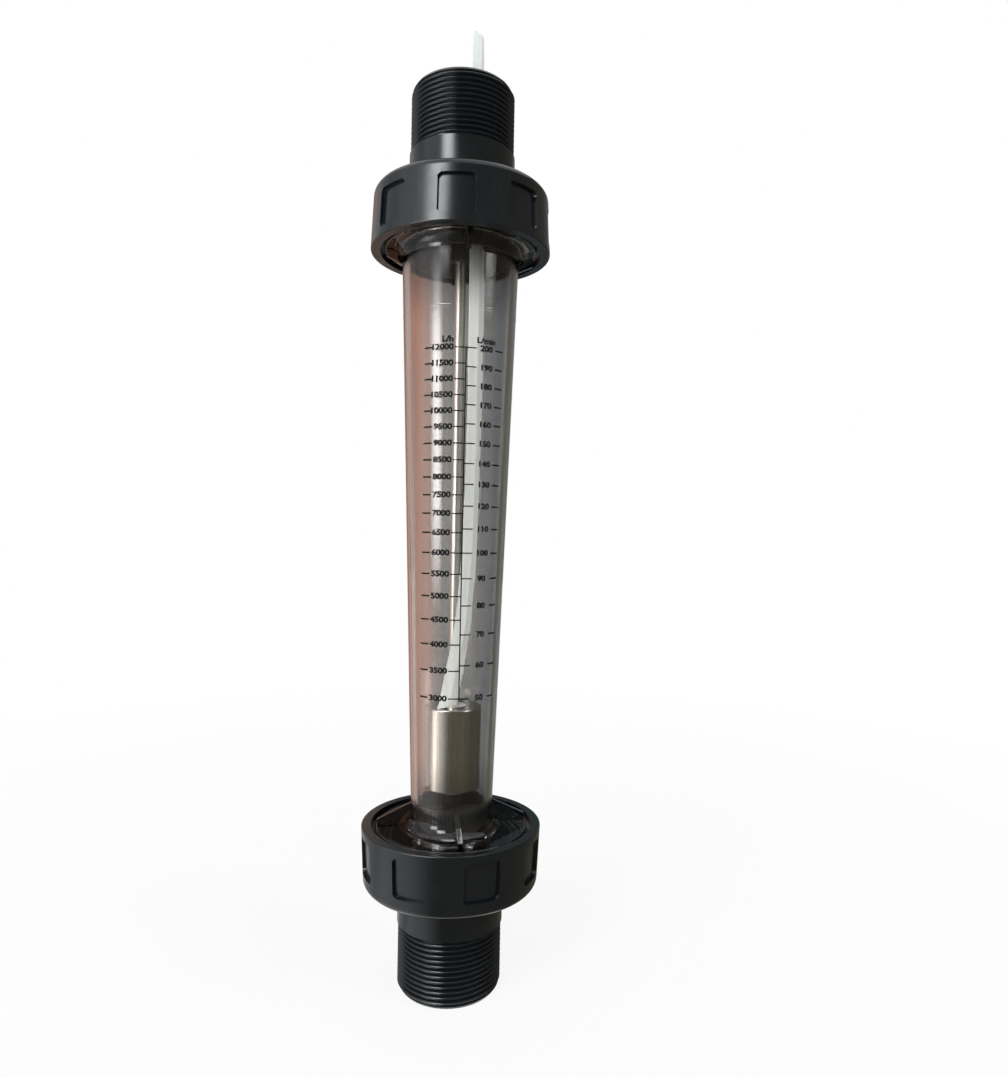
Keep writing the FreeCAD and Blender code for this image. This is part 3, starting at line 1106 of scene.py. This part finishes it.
@dataclass
class MeteringTube(SubAssembly):
    """Clear tapered tube, moulded in one with collars, ribs and a stepped mouth at each end."""

    wall: float = 3.0 * MM
    flare: float = 6.0 * MM
    collar_edge: float = 0.6 * MM
    rim_edge: float = 0.5 * MM
    mouth_edge: float = 0.3 * MM
    step_edge: float = 0.2 * MM
    lower_stop_r: float = 16.9 * MM
    upper_stop_r: float = 25.0 * MM
    mould_line_z: float = 308.4 * MM
    mould_line_height: float = 0.12 * MM
    mould_line_width: float = 0.5 * MM
    rib_count: int = 4
    rib_thickness: float = 2.5 * MM
    rib_edge_height: float = 3.5 * MM
    rib_slope_deg: float = 25.0
    rib_inset: float = 0.8 * MM
    rib_edge: float = 0.35 * MM
    segments: int = 192
    sharp_deg: float = 28.0

    def wall_outline(self) -> list[Point]:
        """Half outline of the tube with its fillets and the fine mould line.

        Returns:
            Closed outline.
        """
        layout = self.layout
        _, lower_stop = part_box("lower_rod_stop")
        upper_stop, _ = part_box("upper_rod_stop")
        top_collar = layout.length - layout.collar_z
        top_end = layout.length - layout.end_z
        line_low = self.mould_line_z - self.mould_line_width
        line_top = self.mould_line_z + self.mould_line_width
        outer = layout.wall_radius
        line_r = outer(self.mould_line_z) + self.mould_line_height
        return rounded_outline([
            (self.lower_stop_r, layout.end_z, self.mouth_edge),
            (layout.collar_r, layout.end_z, self.rim_edge),
            (layout.collar_r, layout.collar_z, self.collar_edge),
            (outer(layout.collar_z), layout.collar_z, self.flare),
            (outer(line_low), line_low),
            (line_r, self.mould_line_z, self.mould_line_width / 2),
            (outer(line_top), line_top),
            (outer(top_collar), top_collar, self.flare),
            (layout.collar_r, top_collar, self.collar_edge),
            (layout.collar_r, top_end, self.rim_edge),
            (self.upper_stop_r, top_end, self.mouth_edge),
            (self.upper_stop_r, upper_stop.z),
            (outer(upper_stop.z) - self.wall, upper_stop.z, self.step_edge),
            (outer(lower_stop.z) - self.wall, lower_stop.z, self.step_edge),
            (self.lower_stop_r, lower_stop.z),
        ], steps=7)

    def rib(self, wall_r: float) -> bmesh.types.BMesh:
        """One lower rib that faces -Y.

        Args:
            wall_r: Outer radius of the wall where the rib stands.

        Returns:
            New geometry with softened edges.
        """
        collar_z = self.layout.collar_z
        outer = self.layout.collar_r - self.rib_inset
        inner = wall_r - self.wall / 2
        rise = (outer - inner) * math.tan(math.radians(self.rib_slope_deg))
        low = collar_z - self.rib_edge_height
        top = collar_z + self.rib_edge_height
        corners = ((inner, low), (outer, low), (outer, top), (inner, top + rise))
        mesh_data = bmesh.new()
        side = [mesh_data.verts.new((-self.rib_thickness / 2, -r, z)) for r, z in corners]
        face = mesh_data.faces.new(side)
        moved = bmesh.ops.extrude_face_region(mesh_data, geom=[face])["geom"]
        points = [item for item in moved if isinstance(item, bmesh.types.BMVert)]
        bmesh.ops.translate(mesh_data, verts=points, vec=(self.rib_thickness, 0, 0))
        edges = [edge for edge in mesh_data.edges if max(v.co.z for v in edge.verts) > collar_z]
        softness = {"offset": self.rib_edge, "segments": 2, "profile": 0.5}
        bmesh.ops.bevel(mesh_data, geom=edges, affect="EDGES", **softness)
        return mesh_data

    def ribs(self) -> bpy.types.Object:
        """All ribs as one object, for the join with the wall.

        Returns:
            The object, which is removed after use.
        """
        layout = self.layout
        gathered = bmesh.new()
        for index in range(self.rib_count):
            turn = Matrix.Rotation(2 * math.pi * index / self.rib_count, 4, "Z")
            for end, radius in ((End.LOWER, layout.lower_wall_r), (End.UPPER, layout.upper_wall_r)):
                one = self.rib(radius)
                over = half_turn(layout.length) if end is End.UPPER else Matrix.Identity(4)
                bmesh.ops.transform(one, matrix=over @ turn, verts=one.verts)
                holder = bpy.data.meshes.new("rib")
                one.to_mesh(holder)
                one.free()
                gathered.from_mesh(holder)
                bpy.data.meshes.remove(holder)
        return finish_mesh("tube_ribs", gathered)

    def build(self) -> bpy.types.Object:
        """Build and dress the tube.

        Returns:
            The tube's object.
        """
        piece = finish_mesh("tapered_tube", lathe(self.wall_outline(), self.segments))
        ribs = self.ribs()
        union = piece.modifiers.new("ribs", "BOOLEAN")
        union.operation = "UNION"
        union.solver = "EXACT"
        union.object = ribs
        apply_modifiers(piece)
        bpy.data.objects.remove(ribs)
        level_shading(piece, self.sharp_deg)
        dress(piece, self.finishes["tube_clear"])
        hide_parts("metering_tube")
        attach(piece, Body.METER.value)
        return piece


@dataclass
class PrintedScale(SubAssembly):
    """Double flow scale on the front of the tube: litres an hour on the left, a minute on the right."""

    # height of the mark at the foot, at a third and two thirds of the range, and at the head
    third_z: tuple[float, float, float, float] = (136.0 * MM, 200.5 * MM, 248.5 * MM, 290.0 * MM)
    foot_flow: int = 3000
    head_flow: int = 12000
    hour_step: int = 500
    minute_step: int = 10
    line_width: float = 0.56 * MM
    bold_width: float = 0.7 * MM
    digit_height: float = 2.6 * MM
    letter_size: float = 1.32
    digit_stretch: float = 1.22
    stroke_gain: float = 0.17 * MM
    lift: float = 0.02 * MM
    thickness: float = 0.04 * MM
    step: float = 0.7 * MM
    left_tick: float = -4.9 * MM
    right_tick: float = 4.7 * MM
    left_number: float = -5.4 * MM
    right_number: float = 9.5 * MM
    left_outer: Point = (-19.0 * MM, -14.6 * MM)
    right_outer: Point = (14.2 * MM, 18.6 * MM)
    header_gap: float = 3.4 * MM
    mesh_data: bmesh.types.BMesh = field(default_factory=bmesh.new)

    MINUTES = 60

    def height_of(self, flow: float) -> float:
        """Height of the mark for a flow, on the smooth curve through the four known heights.

        Args:
            flow: Flow in litres an hour.

        Returns:
            Height on the tube.
        """
        thirds = 3 * (flow - self.foot_flow) / (self.head_flow - self.foot_flow)
        height = 0.0
        for place, known_z in enumerate(self.third_z):
            others = [other for other in range(len(self.third_z)) if other != place]
            height += known_z * math.prod((thirds - other) / (place - other) for other in others)
        return height

    def wrap(self, across: float, height: float, out: float) -> Vector:
        """Point on the tube's surface.

        Args:
            across: Distance round the surface from the middle line, to the right.
            height: Height above the lower end face.
            out: Distance above the surface.

        Returns:
            The point.
        """
        radius = self.layout.wall_radius(height)
        angle = across / radius
        return Vector(((radius + out) * math.sin(angle), -(radius + out) * math.cos(angle), height))

    def bar(self, span: Point, height: Point) -> None:
        """Print one straight bar.

        Args:
            span: Start and end across the tube.
            height: Lower and upper edge.
        """
        steps = max(1, math.ceil((span[1] - span[0]) / self.step))
        rings = []
        for index in range(steps + 1):
            across = span[0] + (span[1] - span[0]) * index / steps
            low, high = self.lift, self.lift + self.thickness
            corners = ((height[0], low), (height[1], low), (height[1], high), (height[0], high))
            rings.append([self.mesh_data.verts.new(self.wrap(across, z, out)) for z, out in corners])
        loft(self.mesh_data, rings)

    def words(self, text: str, across: float, height: float, align: Align) -> None:
        """Print a number or a unit at a place.

        Args:
            text: What is printed.
            across: Place of the text, round the surface.
            height: Middle of the text's height.
            align: Which part of the text stands at the place.
        """
        curve = bpy.data.curves.new("letters", "FONT")
        curve.body = text
        curve.align_x = align.value
        curve.align_y = "CENTER"
        curve.size = self.digit_height * self.letter_size
        curve.offset = self.stroke_gain
        curve.resolution_u = 3
        curve.extrude = self.thickness / 2
        holder = bpy.data.objects.new("letters", curve)
        made = bpy.data.meshes.new_from_object(holder)
        for vertex in made.vertices:
            flat = vertex.co
            out = self.lift + self.thickness / 2 + flat.z
            vertex.co = self.wrap(across + flat.x * self.digit_stretch, height + flat.y, out)
        self.mesh_data.from_mesh(made)
        bpy.data.meshes.remove(made)
        bpy.data.objects.remove(holder)
        bpy.data.curves.remove(curve)

    def marks(self) -> list[tuple[float, str, bool]]:
        """Every mark of both columns.

        Returns:
            Height, number and whether it belongs to the left column.
        """
        an_hour = range(self.foot_flow, self.head_flow + 1, self.hour_step)
        foot, head = self.foot_flow // self.MINUTES, self.head_flow // self.MINUTES
        a_minute = range(foot, head + 1, self.minute_step)
        found = [(self.height_of(flow), str(flow), True) for flow in an_hour]
        return found + [(self.height_of(self.MINUTES * flow), str(flow), False) for flow in a_minute]

    def build(self) -> bpy.types.Object:
        """Print the scale.

        Returns:
            The print as one thin raised piece.
        """
        half, bold = self.line_width / 2, self.bold_width / 2
        foot, head = self.third_z[0], self.third_z[-1]
        self.bar((-half, half), (foot - half, head + half))
        for height, number, on_left in self.marks():
            tick = (self.left_tick, -half) if on_left else (half, self.right_tick)
            outer = self.left_outer if on_left else self.right_outer
            place = self.left_number if on_left else self.right_number
            align = Align.RIGHT if on_left else Align.CENTER
            self.bar(tick, (height - half, height + half))
            self.bar(outer, (height - bold, height + bold))
            self.words(number, place, height, align)
        header = head + self.header_gap
        self.words("L/h", self.left_number, header, Align.RIGHT)
        self.words("L/min", self.right_number, header, Align.CENTER)
        piece = finish_mesh("printed_scale", self.mesh_data, sharp_deg=20)
        dress(piece, self.finishes["ink"])
        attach(piece, Body.METER.value)
        return piece


@dataclass
class PackingStrip(SubAssembly):
    """Creased plastic band that stands on the float and leaves by the upper end."""

    half_width: float = 4.6 * MM
    thickness: float = 0.8 * MM
    fold_deg: float = 20.0
    rings: int = 96
    crease_softness: float = 0.12 * MM
    end_slant: float = 1.6 * MM
    slant_share: float = 1 / 24
    # share of the height, sideways place and depth in millimetres, turn in degrees
    stations: tuple[tuple[float, float, float, float], ...] = (
        (0.000, -3.3, 9.0, 11.0),
        (0.082, 1.6, 8.5, 22.0),
        (0.135, 4.2, 8.4, 28.0),
        (0.230, 6.2, 8.5, 33.0),
        (0.340, 7.4, 8.6, 35.0),
        (0.600, 7.6, 8.6, 36.0),
        (0.900, 7.0, 8.6, 42.0),
        (1.000, 7.0, 8.6, 50.0),
    )

    def station_at(self, share: float) -> tuple[float, float, float]:
        """Smooth place of the band between its stations.

        Args:
            share: Share of the height.

        Returns:
            Sideways place, depth and turn.
        """
        last = len(self.stations) - 2
        index = max(i for i in range(last + 1) if self.stations[i][0] <= share)
        around = [self.stations[min(max(index + k, 0), last + 1)] for k in (-1, 0, 1, 2)]
        start, stop = around[1][0], around[2][0]
        t = (share - start) / (stop - start)
        values = []
        for part in (1, 2, 3):
            slope_in = (around[2][part] - around[0][part]) / (around[2][0] - around[0][0])
            slope_out = (around[3][part] - around[1][part]) / (around[3][0] - around[1][0])
            run = stop - start
            p, q = around[1][part], around[2][part]
            values.append(
                (2 * t**3 - 3 * t**2 + 1) * p
                + (t**3 - 2 * t**2 + t) * run * slope_in
                + (3 * t**2 - 2 * t**3) * q
                + (t**3 - t**2) * run * slope_out
            )
        return values[0] * MM, values[1] * MM, values[2]

    def section(self) -> list[Point]:
        """Outline of the shallow V, with a softened crease and rounded edges.

        Returns:
            Closed outline as (across, towards the rod).
        """
        fold = math.radians(self.fold_deg)
        front = []
        for across in (-1.0, -0.97, -0.5, -0.06, 0.0, 0.06, 0.5, 0.97, 1.0):
            reach = self.half_width * across
            crease = max(abs(reach) - self.crease_softness, 0.0)
            front.append((reach * math.cos(fold), crease * math.sin(fold)))
        back = [(x, y + self.thickness) for x, y in reversed(front[1:-1])]
        return front + back

    def build(self) -> bpy.types.Object:
        """Build and dress the strip.

        Returns:
            The strip's object.
        """
        low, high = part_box("packing_strip")
        outline = self.section()
        mesh_data = bmesh.new()
        rings = []
        for index in range(self.rings + 1):
            share = index / self.rings
            sideways, depth, turn = self.station_at(share)
            spin = Matrix.Rotation(math.radians(turn), 2)
            ring = []
            slant = self.end_slant * max(0.0, 1 - share / self.slant_share)
            for x, y in outline:
                lean = slant * (0.5 + x / self.half_width / 2)
                spot = spin @ Vector((x, y))
                height = low.z + (high.z - low.z) * share + lean
                ring.append(mesh_data.verts.new((sideways + spot.x, spot.y - depth, height)))
            rings.append(ring)
        loft(mesh_data, rings)
        piece = finish_mesh("milky_strip", mesh_data, sharp_deg=15)
        dress(piece, self.finishes["strip_plastic"])
        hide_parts("packing_strip")
        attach(piece, Body.FLOAT.value)
        return piece


@dataclass
class UnionNut(SubAssembly):
    """Union nut with the softened edges of a moulding."""

    end: End
    edge: float = 0.35 * MM
    flat_deg: float = 0.6
    weld: float = 0.002 * MM
    edge_deg: float = 28.0
    sharp_deg: float = 35.0

    def build(self) -> bpy.types.Object:
        """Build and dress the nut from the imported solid, with its edges rounded.

        Returns:
            The nut's object.
        """
        node = f"{self.end.value}_union_nut"
        source = frame["nodes"][node]
        mesh_data = bmesh.new()
        mesh_data.from_mesh(source.data)
        bmesh.ops.remove_doubles(mesh_data, verts=mesh_data.verts, dist=self.weld)
        flat = math.radians(self.flat_deg)
        bmesh.ops.dissolve_limit(mesh_data, angle_limit=flat, verts=mesh_data.verts, edges=mesh_data.edges)
        piece = finish_mesh(f"{self.end.value}_nut_moulding", mesh_data, sharp_deg=25)
        soften = piece.modifiers.new("edges", "BEVEL")
        soften.limit_method = "ANGLE"
        soften.angle_limit = math.radians(self.edge_deg)
        soften.width = self.edge
        soften.segments = 2
        soften.use_clamp_overlap = True
        apply_modifiers(piece)
        level_shading(piece, self.sharp_deg)
        dress(piece, self.finishes["nut_plastic"])
        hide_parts(node)
        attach(piece, self.end.nut_body.value)
        return piece


@dataclass
class InnerParts(SubAssembly):
    """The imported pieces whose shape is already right: only their finish is set here."""

    slots: dict[str, str] = field(default_factory=dict)

    def build(self) -> int:
        """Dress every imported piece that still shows.

        Returns:
            Number of pieces dressed.
        """
        rebuilt = ("tube", "union_nut", "connector", "strip")
        for entry in frame["record"]["subparts"]:
            node = entry["node"]
            if any(word in node for word in rebuilt):
                continue
            piece = frame["nodes"][node]
            slot = entry["material_slot"]
            self.slots[node] = slot
            dress(piece, self.finishes[slot])
        return len(self.slots)


# ---------------------------------------------------------------- studio


@dataclass
class StudioCamera:
    """Camera in front of the meter, close enough to look up into one nut and down into the other."""

    azimuth_deg: float = -7.0
    distance: float = 360.0 * MM
    height: float = 209.0 * MM
    aside: float = 1.7 * MM
    turn_deg: float = 3.3
    nod_deg: float = 0.3
    roll_deg: float = 1.0
    lens: float = 25.7

    def build(self) -> bpy.types.Object:
        """Place the camera and make it the scene's own.

        Returns:
            The camera.
        """
        stand = Matrix.Rotation(math.radians(self.azimuth_deg), 4, "Z")
        place = Matrix.Translation((self.aside, -self.distance, self.height))
        turns = ((-self.turn_deg, "Z"), (90 - self.nod_deg, "X"), (self.roll_deg, "Z"))
        turn, nod, roll = (Matrix.Rotation(math.radians(angle), 4, axis) for angle, axis in turns)
        data = bpy.data.cameras.new("camera")
        data.lens = self.lens
        data.sensor_width = 36.0
        data.clip_start = 0.01
        camera = bpy.data.objects.new("camera", data)
        camera.matrix_world = stand @ place @ turn @ nod @ roll
        bpy.context.scene.collection.objects.link(camera)
        bpy.context.scene.camera = camera
        return camera


@dataclass(frozen=True)
class Flag:
    """Curved card with a foot on the floor, which nothing but glossy pieces mirror."""

    name: str
    start_deg: float
    stop_deg: float
    colour: Colour
    soft_deg: float = 16.0
    stop_soft_deg: float = 12.0
    near: float = 0.1
    away: float = 2.6
    low: float = 0.001
    high: float = 3.0
    post_deg: float = 10.0

    def mask(self, wires: Wiring) -> Socket:
        """Share of the card that shows: soft at both upright edges, and only in reflections.

        Args:
            wires: Tree that receives the nodes.

        Returns:
            The mask socket.
        """
        axes = wires.object_axes()
        turn = wires.math("ARCTAN2", axes["X"], wires.math("MULTIPLY", axes["Y"], -1.0))
        start, stop = math.radians(self.start_deg), math.radians(self.stop_deg)
        rising = wires.remap(turn, start, start + math.radians(self.soft_deg), 0.0, 1.0)
        falling = wires.remap(turn, stop - math.radians(self.stop_soft_deg), stop, 1.0, 0.0)
        path = wires.node("ShaderNodeLightPath")
        mirrored = wires.math("GREATER_THAN", path.outputs["Glossy Depth"], 0.5)
        return wires.math("MULTIPLY", wires.math("MULTIPLY", rising, falling), mirrored)

    def build(self) -> bpy.types.Object:
        """Build the card.

        Returns:
            The card, which the camera, diffuse light and shadows don't see.
        """
        steps = math.ceil((self.stop_deg - self.start_deg) / self.post_deg)
        outline = ((self.near, self.low), (self.away, self.low), (self.away, self.high))
        mesh_data = bmesh.new()
        posts = []
        for index in range(steps + 1):
            out = spoke(math.radians(self.start_deg + (self.stop_deg - self.start_deg) * index / steps))
            points = [out * run + Vector((0, 0, height)) for run, height in outline]
            posts.append([mesh_data.verts.new(point) for point in points])
        for first, second in zip(posts, posts[1:]):
            for low, high in ((0, 1), (1, 2)):
                mesh_data.faces.new((first[low], second[low], second[high], first[high]))
        piece = finish_mesh(self.name, mesh_data)
        material, wires, shader = blank_material(self.name)
        wires.tree.nodes.remove(shader)
        glow = wires.node("ShaderNodeEmission")
        glow.inputs["Color"].default_value = (*self.colour, 1)
        unseen = wires.node("ShaderNodeBsdfTransparent")
        wires.surface(wires.blend(self.mask(wires), unseen.outputs[0], glow.outputs[0]))
        dress(piece, material)
        for sight in ("camera", "diffuse", "volume_scatter", "shadow"):
            setattr(piece, f"visible_{sight}", False)
        return piece


@dataclass(frozen=True)
class Softbox:
    """Rectangular lamp whose light fades towards its edges, aimed at the meter's axis."""

    name: str
    azimuth_deg: float
    height: float
    away: float
    size: Point
    power: float
    colour: Colour = (1.0, 1.0, 1.0)
    aim: float = 0.2
    soft_edge: float = 0.32
    mirrored: bool = True

    def fade(self, wires: Wiring) -> None:
        """Let the light fade towards the four edges.

        Args:
            wires: Tree of the lamp.
        """
        place = wires.node("ShaderNodeNewGeometry")
        split = wires.node("ShaderNodeSeparateXYZ")
        wires.join(place.outputs["Parametric"], split.inputs[0])
        shares = []
        for axis in "XY":
            from_middle = wires.math("ABSOLUTE", wires.math("SUBTRACT", split.outputs[axis], 0.5))
            shares.append(wires.remap(from_middle, 0.5 - self.soft_edge, 0.5, 1.0, 0.0))
        glow = wires.node("ShaderNodeEmission")
        wires.join(wires.math("MULTIPLY", *shares), glow.inputs["Strength"])
        wires.join(glow.outputs[0], wires.tree.nodes["Light Output"].inputs["Surface"])

    def build(self) -> bpy.types.Object:
        """Place the lamp.

        Returns:
            The lamp.
        """
        data = bpy.data.lights.new(self.name, "AREA")
        data.shape = "RECTANGLE"
        data.size, data.size_y = self.size
        data.energy = self.power
        data.color = self.colour
        data.use_nodes = True
        data.node_tree.nodes.remove(data.node_tree.nodes["Emission"])
        self.fade(Wiring(data.node_tree))
        lamp = bpy.data.objects.new(self.name, data)
        lamp.visible_glossy = self.mirrored
        lamp.location = spoke(math.radians(self.azimuth_deg)) * self.away + Vector((0, 0, self.height))
        target = Vector((0, 0, self.aim)) - lamp.location
        lamp.rotation_euler = target.to_track_quat("-Z", "Y").to_euler()
        bpy.context.scene.collection.objects.link(lamp)
        return lamp


@dataclass
class Studio:
    """Pale floor, white surroundings, soft lamps, and cards that only the glossy pieces mirror."""

    floor_size: float = 12.0
    floor_gap: float = 0.02 * MM
    floor_colour: Colour = (0.9, 0.9, 0.9)
    near_white: float = 0.88
    far_white: float = 1.0
    fade_start: float = 0.12
    fade_stop: float = 0.7
    world_light: float = 0.4
    lamps: tuple[Softbox, ...] = (
        Softbox("key", -54, 0.33, 1.1, (0.5, 0.66), 10.0, (0.94, 0.985, 1.0), aim=0.33),
        Softbox("high_key", -38, 1.0, 1.1, (0.62, 0.8), 19.0, (0.94, 0.985, 1.0), aim=0.33),
        Softbox("fill", 55, 1.0, 1.6, (0.9, 0.7), 24.0, mirrored=False),
    )
    flags: tuple[Flag, ...] = (
        Flag("front_flag", -56, 160, (0.16, 0.145, 0.11), soft_deg=32.0, stop_soft_deg=20.0, near=0.04),
        Flag("cool_flag", 140, 180, (0.12, 0.145, 0.155), soft_deg=20.0, stop_soft_deg=0.5, near=0.04),
        Flag("rosy_flag", -180, -138, (0.46, 0.3, 0.23), soft_deg=0.5, stop_soft_deg=22.0, near=0.04),
        Flag("left_flag", -160, -90, (0.5, 0.52, 0.54), soft_deg=22.0, stop_soft_deg=14.0, near=0.04),
        Flag("floor_card", -98, -62, (3.2, 3.2, 3.15), near=0.26, away=0.62, low=0.002, high=0.01),
    )

    def seen_directly(self, wires: Wiring) -> Socket:
        """One for rays from the camera, a mirror or a clear wall, and nought for the rest.

        Args:
            wires: Tree that receives the nodes.

        Returns:
            The mask socket.
        """
        path = wires.node("ShaderNodeLightPath")
        direct = wires.math("MAXIMUM", path.outputs["Is Camera Ray"], path.outputs["Is Transmission Ray"])
        return wires.math("MAXIMUM", direct, path.outputs["Is Glossy Ray"])

    def world(self) -> None:
        """White world for what is seen directly, and a plain level as a light."""
        world = bpy.data.worlds.new("studio")
        bpy.context.scene.world = world
        world.use_nodes = True
        wires = Wiring(world.node_tree)
        plain = world.node_tree.nodes["Background"]
        plain.inputs["Color"].default_value = (1, 1, 1, 1)
        level = wires.remap(self.seen_directly(wires), 0.0, 1.0, self.world_light, 1.0)
        wires.join(level, plain.inputs["Strength"])

    def floor(self) -> bpy.types.Object:
        """Plain pale floor just under the lower end face, which runs out to white.

        Returns:
            The floor.
        """
        mesh_data = bmesh.new()
        bmesh.ops.create_grid(mesh_data, x_segments=1, y_segments=1, size=self.floor_size / 2)
        piece = finish_mesh("floor", mesh_data)
        piece.location.z = cad_box[0].z - self.floor_gap
        material, wires, shader = blank_material("floor")
        shader.inputs["Base Color"].default_value = (*self.floor_colour, 1)
        shader.inputs["Roughness"].default_value = 0.9
        shader.inputs["Specular IOR Level"].default_value = 0.0
        place = wires.node("ShaderNodeTexCoord")
        length = wires.node("ShaderNodeVectorMath", operation="LENGTH")
        wires.join(place.outputs["Object"], length.inputs[0])
        away = length.outputs["Value"]
        fade = wires.remap(away, self.fade_start, self.fade_stop, self.near_white, self.far_white)
        white = wires.node("ShaderNodeEmission")
        shown = wires.math("MULTIPLY", fade, self.seen_directly(wires))
        wires.surface(wires.blend(shown, shader.outputs[0], white.outputs[0]))
        dress(piece, material)
        return piece

    def build(self) -> None:
        """Set up the whole studio."""
        self.world()
        self.floor()
        for lamp in self.lamps:
            lamp.build()
        for flag in self.flags:
            flag.build()
        bpy.context.scene.view_settings.view_transform = "Standard"


# ---------------------------------------------------------------- assembly


def main() -> None:
    """Build every sub-assembly in order."""
    StudioCamera().build()
    Studio().build()
    layout = Layout.read()
    finishes = Finishes().build(Groups.build(), layout)
    for end in End:
        for kind in (ThreadedEnd, UnionNut):
            log.info("built %s", kind(layout, finishes, end).build().name)
    for kind in (MeteringTube, PrintedScale, PackingStrip):
        log.info("built %s", kind(layout, finishes).build().name)
    log.info("dressed %d inner pieces", InnerParts(layout, finishes).build())


if __name__ == "__main__":
    main()
